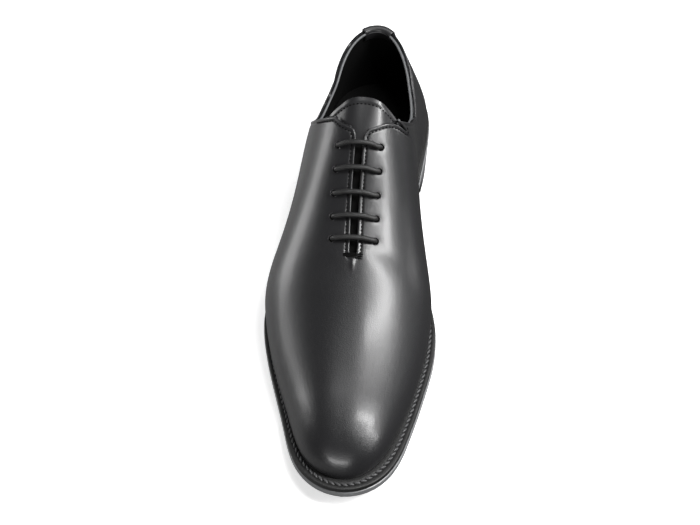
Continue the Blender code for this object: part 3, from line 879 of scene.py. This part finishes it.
def tongue_point(across, along_share):
    """A point on the tongue, from its top edge (0) to its lower end (1), with its soft folds."""
    top = TONGUE_TOP + TONGUE_CROWN * across**2
    along = top + (TONGUE_BOTTOM - top) * along_share
    shift = TONGUE_SHIFT * (1 - smooth((along - top) / (FIRST_EYELET - top)))
    point, normal = surface_point(along, across * TONGUE_HALF_WIDTH + shift)
    fold = TONGUE_FOLD * (1 + math.cos(across * TONGUE_WAVES)) * max(1 - along_share * 4, 0)
    band = BAND_RISE * float(smooth((BAND_WIDTH - (along - top)) / 0.0004))
    return point - normal * (WALL + TONGUE_GAP - band + fold), normal


tongue_leather = leather("tongue_calf", TONGUE_COLOUR, 0.34, coat=0.2, coat_roughness=0.2)
# Painted shade: a near black matt finish for the tongue's lower part, where the calf lies in shade; the calf is the
# same as at the top.
tongue_painted_shade = leather("tongue_calf_painted_shade", SUEDE_COLOUR, 0.9)
tongue_painted_shade.node_tree.nodes["Principled BSDF"].inputs["Specular IOR Level"].default_value = 0.08
tongue_rows = []
for across in np.linspace(-1, 1, TONGUE_COLUMNS):
    tongue_rows.append([tongue_point(across, share**1.6)[0] for share in np.linspace(0, 1, TONGUE_ROWS)])
tongue_mesh = mesh_from_rows("stitched_tongue", tongue_rows)
tongue = new_object("stitched_tongue", tongue_mesh, [tongue_leather])
if tongue.data.polygons[len(tongue.data.polygons) // 2].normal.z < 0:
    tongue.data.flip_normals()
tongue_wall = tongue.modifiers.new("wall", "SOLIDIFY")
tongue_wall.thickness = TONGUE_THICKNESS
tongue_wall.offset = -1
tongue_edge = tongue.modifiers.new("edge", "BEVEL")
tongue_edge.width = 0.0004
tongue_edge.segments = 2
applied(tongue)
tongue.data.materials.append(tongue_painted_shade)
for face in tongue.data.polygons:
    if face.center.y < TONGUE_SHADE_LINE:
        face.material_index = 1
finish_piece(tongue, "tongue")

band_share = BAND_WIDTH / (TONGUE_BOTTOM - TONGUE_TOP) + 0.004
band_line = []
for across in np.linspace(-0.96, 0.96, 50):
    point, normal = tongue_point(across, band_share)
    band_line.append(point + normal * STITCH_SINK)
stitched("tongue_stitches", [band_line], STITCH_PITCH, STITCH_LENGTH, STITCH_THICKNESS, 0.0, thread)

# ---------------------------------------------------------------- heel tab
# A short strip of calf folded over the top of the back seam, which it guards where the foot goes in.
TAB_HALF_WIDTH = 0.0098
TAB_DROP = 0.016
TAB_LINING = 0.007
TAB_THICKNESS = 0.0011
TAB_EDGE = 0.0003


def tab_turn(side, out):
    """The heel rib that crosses the collar this far from the back seam."""
    turns = np.linspace(0, 0.6, 40)
    reach = []
    for turn in turns:
        control = rib(side, turn, HEEL_CURVE)
        reach.append(abs(rib_points(control, rib_top(control, side))[0, 0] - SHIFT))
    return float(np.interp(out, reach, turns))


def tab_normal(side, turn, v):
    here = rib_points(rib(side, turn, HEEL_CURVE), [v - 0.01, v])
    beside = rib_points(rib(side, turn + 0.02, HEEL_CURVE), v)[0]
    normal = Vector(np.cross(here[1] - here[0], beside - here[1])).normalized()
    if normal.y < 0:
        normal.negate()
    return normal


tab_leather = leather("tab_calf", TONGUE_COLOUR, 0.33, coat=0.2, coat_roughness=0.2)
tab_gaps = (CLEARANCE, CLEARANCE + TAB_THICKNESS)
tab_columns = []
for out in np.linspace(-1, 1, 7):
    side = 1 if out > 0 else -1
    turn = tab_turn(side, abs(out) * TAB_HALF_WIDTH)
    control = rib(side, turn, HEEL_CURVE)
    top = rib_top(control, side)
    rise = top * TAB_DROP / BACK_HEIGHT * 2
    outer = rib_points(control, np.linspace(top - rise, top, 12))
    normal = tab_normal(side, turn, top)
    up = Vector(outer[-1] - outer[-2]).normalized()
    layers = []
    for gap in tab_gaps:
        row = [Vector(point) + normal * gap for point in outer]
        for bend in np.linspace(0, math.pi, 9):
            middle = Vector(outer[-1]) - normal * WALL / 2
            row.append(middle + (normal * math.cos(bend)) * (WALL / 2 + gap) + up * math.sin(bend) * gap)
        row.append(Vector(outer[-1]) - normal * (WALL + gap) - up * TAB_LINING)
        layers.append(row)
    tab_columns.append(layers[0] + layers[1][::-1])
tab_rows = list(zip(*(curve_through(line, 4) for line in zip(*tab_columns))))
tab_mesh = mesh_from_rows("folded_heel_tab", tab_rows, closed=True, caps=True)
tab = new_object("folded_heel_tab", tab_mesh, [tab_leather])
tab_bevel = tab.modifiers.new("edge", "BEVEL")
tab_bevel.width = TAB_EDGE
tab_bevel.segments = 2
tab_bevel.angle_limit = math.radians(50)
applied(tab)
finish_piece(tab, "heel_tab")

# ---------------------------------------------------------------- laces
# One round waxed cotton lace runs through the eyelets in five straight bars, its ends tucked behind.
# The eyelets are bare punched holes whose cut edges are rolled and shine a little.
LACE_DIAMETER = 0.0031
LACE_ARCH = 0.0012
LACE_LIFT = 0.00045
TOP_BAR_ARCH = 0.0024
BAR_REACH = 0.8 * EYELET_OUT
LACE_COLOUR = (0.010, 0.010, 0.010)
LACE_SIDES = 16
RIM_THICKNESS = 0.00022


def lace_material():
    """Waxed cotton: fine slanting ribs of the braid under a thin shine."""
    made = bpy.data.materials.new("waxed_cotton_lace")
    made.use_nodes = True
    nodes, links = made.node_tree.nodes, made.node_tree.links
    shader = nodes["Principled BSDF"]
    shader.inputs["Roughness"].default_value = 0.42
    lay = nodes.new("ShaderNodeUVMap")
    lay.uv_map = "lay"
    bump = nodes.new("ShaderNodeBump")
    bump.inputs["Strength"].default_value = 1.0
    bump.inputs["Distance"].default_value = 0.00012
    ribs = []
    for slant in (0.7, -0.7):
        turned = nodes.new("ShaderNodeMapping")
        turned.inputs["Rotation"].default_value = (0, 0, slant)
        wave = nodes.new("ShaderNodeTexWave")
        wave.inputs["Scale"].default_value = 420.0
        links.new(lay.outputs["UV"], turned.inputs["Vector"])
        links.new(turned.outputs["Vector"], wave.inputs["Vector"])
        ribs.append(wave)
    both = nodes.new("ShaderNodeMath")
    both.operation = "MULTIPLY"
    links.new(ribs[0].outputs["Fac"], both.inputs[0])
    links.new(ribs[1].outputs["Fac"], both.inputs[1])
    colour = nodes.new("ShaderNodeMix")
    colour.data_type = "RGBA"
    colour.inputs[6].default_value = (*(part * 0.5 for part in LACE_COLOUR), 1)
    colour.inputs[7].default_value = (*(part * 2.2 for part in LACE_COLOUR), 1)
    links.new(both.outputs[0], colour.inputs["Factor"])
    links.new(colour.outputs[2], shader.inputs["Base Color"])
    links.new(both.outputs[0], bump.inputs["Height"])
    links.new(bump.outputs["Normal"], shader.inputs["Normal"])
    return made


lace_cotton = lace_material()
radius = LACE_DIAMETER / 2
for pair in range(EYELET_PAIRS):
    legs = []
    for side in (-1, 1):
        point, normal = eyelets[pair, side]
        inward = (eyelets[pair, -side][0] - point).normalized()
        inward = (inward - normal * inward.dot(normal)).normalized()
        legs.append([
            point - normal * (WALL * 0.9 + EYELET_DENT),
            point - normal * radius * 0.5,
            point + normal * radius * 0.45 + inward * radius * 0.45,
            point + normal * (radius + LACE_LIFT) * 0.9 + inward * radius * 1.5,
        ])
    middle = []
    for share in (0.2, 0.35, 0.5, 0.65, 0.8):
        along = FIRST_EYELET + pair * EYELET_PITCH
        crest, normal = surface_point(along, (2 * share - 1) * BAR_REACH)
        arch = (LACE_ARCH if pair else TOP_BAR_ARCH) * (1 - (2 * share - 1) ** 2)
        middle.append(crest + normal * (radius + LACE_LIFT + arch))
    line = curve_through(legs[0] + middle + legs[1][::-1], 8)
    bar = new_object(f"lace_{pair + 1}", tube(f"lace_{pair + 1}", line, radius, LACE_SIDES), [lace_cotton])
    finish_piece(bar, f"lace_bar_{pair + 1}")

rolled_edge = leather("rolled_eyelet_edge", (0.02, 0.02, 0.021), 0.28, coat=0.3)
for (pair, side), (point, normal) in eyelets.items():
    turn = normal.to_track_quat("Z", "Y")
    ring = []
    for angle in np.linspace(0, 2 * math.pi, 33):
        out = Vector((math.cos(angle), math.sin(angle), 0)) * (EYELET_BORE / 2 + RIM_THICKNESS / 2)
        ring.append(point + turn @ out - normal * EYELET_DENT * 0.62)
    name = f"eyelet_edge_{pair + 1}_{'medial' if side > 0 else 'lateral'}"
    rim = new_object(name, tube(name, ring, RIM_THICKNESS, 8), [rolled_edge])
    finish_piece(rim, None)

# ---------------------------------------------------------------- bar tack
# Three turns of thread sewn across the lower end of the slit keep it from tearing open.
TACK_HALF_WIDTH = 0.0062
TACK_RADIUS = 0.0004
TACK_STEP = 0.0009

for turn in range(3):
    along = THROAT_END - 0.0008 + (turn - 1) * TACK_STEP
    points = []
    for share in np.linspace(-1, 1, 9):
        crest, normal = surface_point(along + 0.0004 * turn * share, share * TACK_HALF_WIDTH)
        points.append(crest + normal * (TACK_RADIUS * 0.8 * (1 - abs(share) ** 6 * 2.5)))
    name = f"bar_tack_{turn + 1}"
    strand = new_object(name, tube(name, curve_through(points, 4), TACK_RADIUS, 8), [thread])
    finish_piece(strand, None)

# ---------------------------------------------------------------- welt
# The welt is a strip of black leather sewn to the upper's edge all round the forepart and the heel.
# A thick waxed stitch in a groove holds it to the outsole, and its edge is pressed and burnished. The stitch thread
# is a lighter grey, partly its own colour and partly a painted highlight.
WELT_STATIONS = 150
WELT_EDGE = 0.0006
WELT_GROOVE = 0.0006
WELT_STITCH_OUT = 0.0034
WELT_STITCH_PITCH = 0.0037
WELT_STITCH_LENGTH = 0.0042
WELT_STITCH_THICKNESS = 0.0016
WELT_STITCH_TURN = 0.42
WELT_COLOUR = (0.006, 0.006, 0.006)
STITCHED_FROM = 0.27
# Partly the thread's own colour, partly painted highlight: a lighter grey so the welt stitches show the shine they
# catch.
WELT_THREAD_HIGHLIGHT_COLOUR = (0.05, 0.05, 0.052)


def stations(back, tip, count):
    """Places from back to tip, closer together at both ends."""
    return back + (tip - back) * (1 - np.cos(np.linspace(0, math.pi, count))) / 2


def welt_ends(share, side):
    """Outer and inner points of the welt, at its underside."""
    outer = CLEARANCE + (LENGTH - 2 * CLEARANCE) * share
    back = LEDGE_BACK + WALL
    tip = LENGTH - LEDGE_TOE - WALL
    inner = back + (tip - back) * share
    x_outer = outline(outer, side, CLEARANCE, CLEARANCE, LENGTH - CLEARANCE)
    x_inner = outline(inner, side, ledge(inner) + WALL, back, tip)
    return place(x_outer, outer, welt_bottom(outer)), place(x_inner, inner, welt_bottom(inner))


welt_leather = leather("black_welt_leather", WELT_COLOUR, 0.5, pores=0.0008, relief=0.00008)
welt_rows, stitch_path = [], []
for side in (1, -1):
    shares = stations(0.0, 1.0, WELT_STATIONS)
    for share in shares[:-1] if side > 0 else shares[:0:-1]:
        outer, inner = welt_ends(share, side)
        width = np.linalg.norm((inner - outer)[:2])
        show = max(width - WALL, 0.0012)
        across = (inner - outer) / width
        row = [outer, outer + (0, 0, WELT_THICKNESS - WELT_EDGE)]
        row.append(outer + across * WELT_EDGE * 0.3 + (0, 0, WELT_THICKNESS - WELT_EDGE * 0.3))
        row.append(outer + across * WELT_EDGE + (0, 0, WELT_THICKNESS))
        for part in (0.26, 0.36, 0.50, 0.64, 0.74):
            depth = WELT_GROOVE * max(1 - abs(part - 0.5) / 0.2, 0) * float(share > STITCHED_FROM)
            row.append(outer + across * show * part + (0, 0, WELT_THICKNESS - depth))
        row += [inner + (0, 0, WELT_THICKNESS), inner]
        welt_rows.append(row)
        if share > STITCHED_FROM:
            stitch_path.append(outer + across * show * 0.5 + (0, 0, WELT_THICKNESS - WELT_GROOVE * 0.3))
welt_mesh = mesh_from_rows("stitched_welt", welt_rows, closed=True, ring=True)
welt = new_object("stitched_welt", welt_mesh, [welt_leather])
welt.data.set_sharp_from_angle(angle=math.radians(50))
finish_piece(welt, "welt")
welt_thread = thread_material("welt_thread_painted_highlight", WELT_THREAD_HIGHLIGHT_COLOUR, 500.0)
stitched(
    "welt_stitches", [filled_in(stitch_path, 0.0008)], WELT_STITCH_PITCH, WELT_STITCH_LENGTH,
    WELT_STITCH_THICKNESS, WELT_STITCH_TURN, welt_thread,
)

# ---------------------------------------------------------------- outsole
# A bend of sole leather, cut with the welt, sanded, dyed black and set with a hot iron.
# The iron leaves a rounded edge that shines grey where it catches the light. That shine is painted into the colour:
# the whole sole is grey instead of black.
SOLE_STATIONS = 200
SOLE_EDGE = 0.0009
# Painted sheen: a mid grey for black dyed leather, standing in for the light the burnished edge catches.
SOLE_PAINTED_SHEEN_COLOUR = (0.20, 0.203, 0.208)


def edge_leather(name, colour, roughness, layers):
    """Sole edge: fine lines along the leather's layers under burnished wax."""
    made = leather(name, colour, roughness, spread=0.12, pores=0.0009, relief=0.00003, coat=0.25, coat_roughness=0.25)
    nodes, links = made.node_tree.nodes, made.node_tree.links
    coords = nodes.new("ShaderNodeTexCoord")
    mapping = nodes.new("ShaderNodeMapping")
    mapping.inputs["Scale"].default_value = (20, 20, layers)
    noise = nodes.new("ShaderNodeTexNoise")
    noise.inputs["Scale"].default_value = 1.0
    colour_mix = nodes.new("ShaderNodeMix")
    colour_mix.data_type = "RGBA"
    colour_mix.inputs[6].default_value = (*(part * 0.6 for part in colour), 1)
    colour_mix.inputs[7].default_value = (*(part * 1.5 for part in colour), 1)
    links.new(coords.outputs["Object"], mapping.inputs["Vector"])
    links.new(mapping.outputs["Vector"], noise.inputs["Vector"])
    links.new(noise.outputs["Fac"], colour_mix.inputs["Factor"])
    links.new(colour_mix.outputs[2], nodes["Principled BSDF"].inputs["Base Color"])
    return made


outsole_painted_sheen = edge_leather("black_sole_painted_sheen", SOLE_PAINTED_SHEEN_COLOUR, 0.38, 1500)
sole_rows = []
for along in stations(0.0, LENGTH, SOLE_STATIONS):
    low = sole_bottom(along)
    right, left = [], []
    for turn in np.linspace(0, math.pi / 2, 4):
        inset = SOLE_EDGE * (1 - math.sin(turn))
        height = low + SOLE_EDGE * (1 - math.cos(turn))
        right.append(place(outline(along, 1, inset, inset, LENGTH - inset), along, height))
        left.append(place(outline(along, -1, inset, inset, LENGTH - inset), along, height))
    for inset, height in ((0.0, SOLE_THICKNESS - 0.0004), (0.0004, SOLE_THICKNESS)):
        right.append(place(outline(along, 1, inset, inset, LENGTH - inset), along, low + height))
        left.append(place(outline(along, -1, inset, inset, LENGTH - inset), along, low + height))
    sole_rows.append(right + left[::-1])
sole_mesh = mesh_from_rows("leather_outsole", sole_rows, closed=True, caps=True)
outsole = new_object("leather_outsole", sole_mesh, [outsole_painted_sheen])
outsole.data.set_sharp_from_angle(angle=math.radians(50))
finish_piece(outsole, "outsole")

# ---------------------------------------------------------------- heel
# The heel is built up from leather lifts, pegged and glued, then trimmed, dyed and waxed together. Its dyed black
# sides are coloured grey, a painted sheen for the light they catch.
# A rubber top piece is nailed under it.
HEEL_LENGTH = 0.070
LIFT_THICKNESS = 0.006
HEEL_TAPER = 0.0022
HEEL_LIFTS = 4
LIFT_LINE = 0.00022
HEEL_STATIONS = 40
# Painted sheen: grey in place of the dyed black, for the light on the waxed lifts.
HEEL_PAINTED_SHEEN_COLOUR = (0.11, 0.112, 0.116)
RUBBER_COLOUR = (0.014, 0.014, 0.014)


def heel_loop(height, inset):
    """One closed line round the heel, from the breast round the back and home."""
    loop = []
    alongs = HEEL_LENGTH * (1 - np.cos(np.linspace(0, math.pi / 2, HEEL_STATIONS)))
    for side, places in ((1, alongs[::-1]), (-1, alongs[1:])):
        for along in places:
            z = height(along)
            taper = HEEL_TAPER * (1 - z / HEEL_HEIGHT) + inset
            at = taper + along * (HEEL_LENGTH - 2 * taper) / HEEL_LENGTH
            loop.append(place(outline(at, side, taper, taper), at, z))
    return loop


def heel_block(name, low, high, lifts, material):
    """A slice of the heel with a fine line between its lifts."""
    loops = []
    for lift in range(lifts):
        for share, inset in ((0.0, LIFT_LINE), (0.06, 0.0), (0.94, 0.0), (1.0, LIFT_LINE)):
            part = (lift + share) / lifts
            loops.append(heel_loop(lambda along: low(along) + (high(along) - low(along)) * part, inset))
    return new_object(name, mesh_from_rows(name, loops, closed=True, caps=True), [material])


def stack_foot(along):
    return LIFT_THICKNESS + CLEARANCE


def stack_head(along):
    return sole_bottom(along) - CLEARANCE


def ground(along):
    return 0.0


def lift_head(along):
    return LIFT_THICKNESS


heel_painted_sheen = edge_leather("black_heel_painted_sheen", HEEL_PAINTED_SHEEN_COLOUR, 0.36, 900)
rubber = leather("top_piece_rubber", RUBBER_COLOUR, 0.7, pores=0.0012, relief=0.00006)
stack = heel_block("stacked_heel", stack_foot, stack_head, HEEL_LIFTS, heel_painted_sheen)
stack.data.set_sharp_from_angle(angle=math.radians(30))
finish_piece(stack, "heel_stack")
top_piece = heel_block("rubber_top_piece", ground, lift_head, 1, rubber)
top_piece.data.set_sharp_from_angle(angle=math.radians(30))
finish_piece(top_piece, "top_lift")

# ---------------------------------------------------------------- insole
# The leather insole board, filled with cork below and covered with a black suede sock.
sock = leather("black_suede_sock", SUEDE_COLOUR, 0.9, pores=0.0005, relief=0.0001)
sock.node_tree.nodes["Principled BSDF"].inputs["Specular IOR Level"].default_value = 0.08
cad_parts["insole"].material_slots[0].material = sock

# ---------------------------------------------------------------- floor and lights
# A white studio sweep, lit by large soft boxes, among them one over the instep and one low on the left. The floor
# carries painted light: to the camera it is white with a glow that washes out the shoe's shadow, and to all other
# rays it is a dark grey, lighter on the left than on the right, a painted shade that shapes the bounce and the
# reflections on the shoe.
FLOOR_SIZE = 3.0
FLOOR_COLOUR = (0.95, 0.95, 0.95)
# Painted light: the floor glows for camera rays only. Painted shade: to other rays it is dark grey, graded from left
# to right, which shapes what the leather reflects.
FLOOR_GLOW = 0.45
FLOOR_BOUNCE_LEFT = 0.36
FLOOR_BOUNCE_RIGHT = 0.03
FLOOR_BOUNCE_FROM = -0.10
FLOOR_BOUNCE_TO = 0.04
SKY_STRENGTH = 0.06
SOFT_BOXES = (
    # name, place, aim, width, height, watts
    ("right_strip", (0.62, -0.05, 1.10), (0.0, -0.02, 0.05), 0.12, 0.9, 18.0),
    ("right_far", (1.05, -0.25, 0.75), (0.0, -0.02, 0.05), 0.10, 0.9, 9.0),
    ("overhead", (0.10, 0.55, 1.30), (0.0, 0.0, 0.05), 0.9, 0.7, 5.0),
    ("right_rear", (1.15, 0.85, 0.30), (0.0, 0.08, 0.05), 0.5, 0.4, 7.0),
    ("left_side", (-1.1, 0.35, 0.30), (0.0, 0.05, 0.05), 0.5, 0.4, 5.0),
    ("front_toe", (-0.25, -1.3, 0.55), (0.0, -0.1, 0.0), 0.7, 0.2, 7.0),
)

floor_shape = bmesh.new()
bmesh.ops.create_grid(floor_shape, x_segments=2, y_segments=2, size=FLOOR_SIZE)
floor_mesh = bpy.data.meshes.new("floor")
floor_shape.to_mesh(floor_mesh)
floor_shape.free()
floor_paint = bpy.data.materials.new("white_floor_painted_light")
floor_paint.use_nodes = True
# Camera rays see a white glowing floor, a painted light; other rays see the dark graded grey, a painted shade and
# reflection.
seen = floor_paint.node_tree.nodes.new("ShaderNodeLightPath")
pale = floor_paint.node_tree.nodes.new("ShaderNodeMix")
pale.data_type = "RGBA"
where = floor_paint.node_tree.nodes.new("ShaderNodeTexCoord")
apart = floor_paint.node_tree.nodes.new("ShaderNodeSeparateXYZ")
bounce = floor_paint.node_tree.nodes.new("ShaderNodeMapRange")
bounce.inputs["From Min"].default_value = FLOOR_BOUNCE_FROM
bounce.inputs["From Max"].default_value = FLOOR_BOUNCE_TO
bounce.inputs["To Min"].default_value = FLOOR_BOUNCE_LEFT
bounce.inputs["To Max"].default_value = FLOOR_BOUNCE_RIGHT
floor_paint.node_tree.links.new(where.outputs["Object"], apart.inputs["Vector"])
floor_paint.node_tree.links.new(apart.outputs["X"], bounce.inputs["Value"])
floor_paint.node_tree.links.new(bounce.outputs["Result"], pale.inputs[6])
pale.inputs[7].default_value = (*FLOOR_COLOUR, 1)
floor_paint.node_tree.links.new(seen.outputs["Is Camera Ray"], pale.inputs["Factor"])
floor_paint.node_tree.links.new(pale.outputs[2], floor_paint.node_tree.nodes["Principled BSDF"].inputs["Base Color"])
floor_paint.node_tree.nodes["Principled BSDF"].inputs["Emission Strength"].default_value = FLOOR_GLOW
floor_paint.node_tree.links.new(
    seen.outputs["Is Camera Ray"], floor_paint.node_tree.nodes["Principled BSDF"].inputs["Emission Color"]
)
floor_paint.node_tree.nodes["Principled BSDF"].inputs["Roughness"].default_value = 0.9
floor = new_object("floor", floor_mesh, [floor_paint])

for name, spot, aim, width, height, watts in SOFT_BOXES:
    lamp = bpy.data.objects.new(name, bpy.data.lights.new(name, "AREA"))
    lamp.data.shape = "RECTANGLE"
    lamp.data.size = width
    lamp.data.size_y = height
    lamp.data.energy = watts
    lamp.location = spot
    lamp.rotation_euler = (Vector(aim) - Vector(spot)).to_track_quat("-Z", "Y").to_euler()
    bpy.context.scene.collection.objects.link(lamp)

sky = bpy.data.worlds.new("studio")
sky.use_nodes = True
sky.node_tree.nodes["Background"].inputs["Color"].default_value = (1, 1, 1, 1)
sky.node_tree.nodes["Background"].inputs["Strength"].default_value = SKY_STRENGTH
bpy.context.scene.world = sky
bpy.context.scene.view_settings.view_transform = "Standard"
